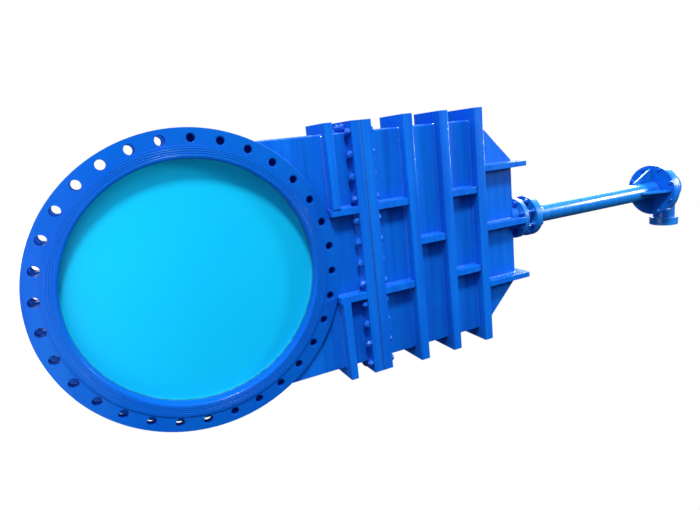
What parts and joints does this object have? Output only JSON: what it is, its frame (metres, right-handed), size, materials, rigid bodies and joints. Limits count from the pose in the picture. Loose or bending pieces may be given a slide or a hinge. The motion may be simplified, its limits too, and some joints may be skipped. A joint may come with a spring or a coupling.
{
  "type": "knife gate valve",
  "caption": "Welded steel knife gate valve with flanged bore, boxed chest, rising stem inside a column and a right-angle bevel gear drive.",
  "frame": {"origin": "centre of the inlet flange on the ring's bolting face, which the raised face stands 5 mm proud of", "axes": "+Y along the flow from the inlet to the outlet, +Z along the stem towards the gearbox, X across the valve"},
  "size_m": [1.4848, 0.37, 4.3994],
  "materials": {
    "blue_paint": "gloss enamel over welded steel",
    "gate_coating": "gloss cyan coating",
    "machined_steel": "turned and lightly oiled",
    "bearing_steel": "ground and polished",
    "bronze": "cast bronze, machined",
    "gasket_rubber": "black sheet",
    "packing_braid": "graphited braid"
  },
  "bodies": {
    "valve_body": {"front_flange_ring": "blue_paint", "rear_flange_ring": "blue_paint", "front_body_plate": "blue_paint", "rear_body_plate": "blue_paint", "body_edge_bar": "blue_paint", "body_cross_ribs": "blue_paint", "body_long_ribs": "blue_paint", "body_joint_flange": "blue_paint", "joint_gasket": "gasket_rubber", "chest_joint_flange": "blue_paint", "joint_bolts": "blue_paint", "joint_nuts": "blue_paint", "chest_front_plate": "blue_paint", "chest_rear_plate": "blue_paint", "chest_side_bars": "blue_paint", "chest_end_plate": "blue_paint", "hoop_rib_lower": "blue_paint", "hoop_rib_middle": "blue_paint", "hoop_rib_upper": "blue_paint", "chest_short_ribs": "blue_paint", "saddle_gussets": "blue_paint", "centre_gussets": "blue_paint", "front_seat_ring": "machined_steel", "rear_seat_ring": "machined_steel", "guide_strips": "bronze", "stuffing_box": "blue_paint", "packing_rings": "packing_braid", "gland_follower": "machined_steel", "gland_studs": "machined_steel", "gland_nuts": "machined_steel", "column_foot_flange": "blue_paint", "column_studs": "blue_paint", "column_nuts": "blue_paint", "column_tube": "blue_paint", "column_foot_gussets": "blue_paint", "column_head_flange": "blue_paint", "column_head_gussets": "blue_paint", "head_bolts": "blue_paint", "gearbox_base": "blue_paint", "lower_thrust_bearing": "bearing_steel", "upper_thrust_bearing": "bearing_steel", "bearing_cap": "machined_steel", "gearbox_housing": "blue_paint", "housing_bolts": "blue_paint", "housing_cover": "blue_paint", "pinion_bearings": "bearing_steel", "shaft_seal": "gasket_rubber", "input_flange": "blue_paint"},
    "gate_and_stem": {"gate": "gate_coating", "rod_tongue": "machined_steel", "gate_pin": "machined_steel", "gate_pin_rings": "machined_steel", "stem_rod": "machined_steel", "stem_nut": "bronze"},
    "screw_drive": {"drive_screw": "machined_steel", "bevel_wheel": "machined_steel", "wheel_key": "machined_steel", "wheel_lock_nut": "machined_steel"},
    "pinion_drive": {"bevel_pinion": "machined_steel"}
  },
  "joints": [
    {"name": "gate_travel", "type": "slide", "parent": "valve_body", "child": "gate_and_stem", "axis": [0, 0, 1], "range_m": [0, 1.224]},
    {"name": "screw_turn", "type": "hinge", "parent": "valve_body", "child": "screw_drive", "pos_m": [0, 0.09, 3.45], "axis": [0, 0, 1], "range_deg": [0, 36720]},
    {"name": "pinion_turn", "type": "hinge", "parent": "valve_body", "child": "pinion_drive", "pos_m": [0.15, 0.09, 3.56], "axis": [1, 0, 0], "range_deg": [0, 73440]}
  ],
  "couplings": [
    {"joint": "screw_turn", "follows": "gate_travel", "rad_per_m": 523.6},
    {"joint": "pinion_turn", "follows": "gate_travel", "rad_per_m": 1047.2}
  ]
}
